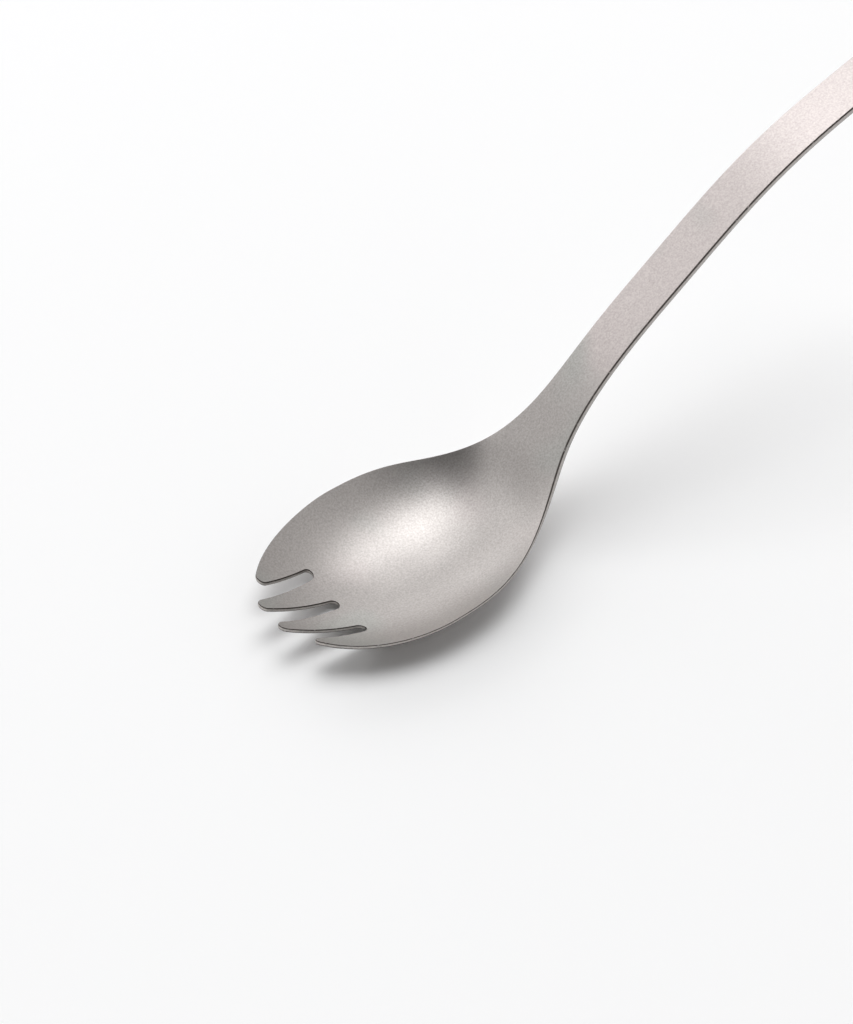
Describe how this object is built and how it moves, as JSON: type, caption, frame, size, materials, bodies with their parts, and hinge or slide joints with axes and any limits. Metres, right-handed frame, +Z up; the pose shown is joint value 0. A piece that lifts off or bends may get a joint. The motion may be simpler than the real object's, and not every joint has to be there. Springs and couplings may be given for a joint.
{
  "type": "spork",
  "caption": "Pressed titanium spork: an egg-shaped bowl slotted into round-tipped tines, a steep narrow neck and a flat strap handle with a round end.",
  "frame": {"origin": "centre of the box on the table plane, with the spork lying on the heel of its bowl and the end of its handle", "axes": "+X along the spork from the tines to the handle's end, +Y across it, +Z up"},
  "size_m": [0.1618, 0.038, 0.0309],
  "materials": {
    "blasted_titanium": "bead-blasted titanium: warm grey, matte, with a fine even grain and tumbled edges"
  },
  "bodies": {
    "root": {"spork": "blasted_titanium"}
  },
  "joints": []
}
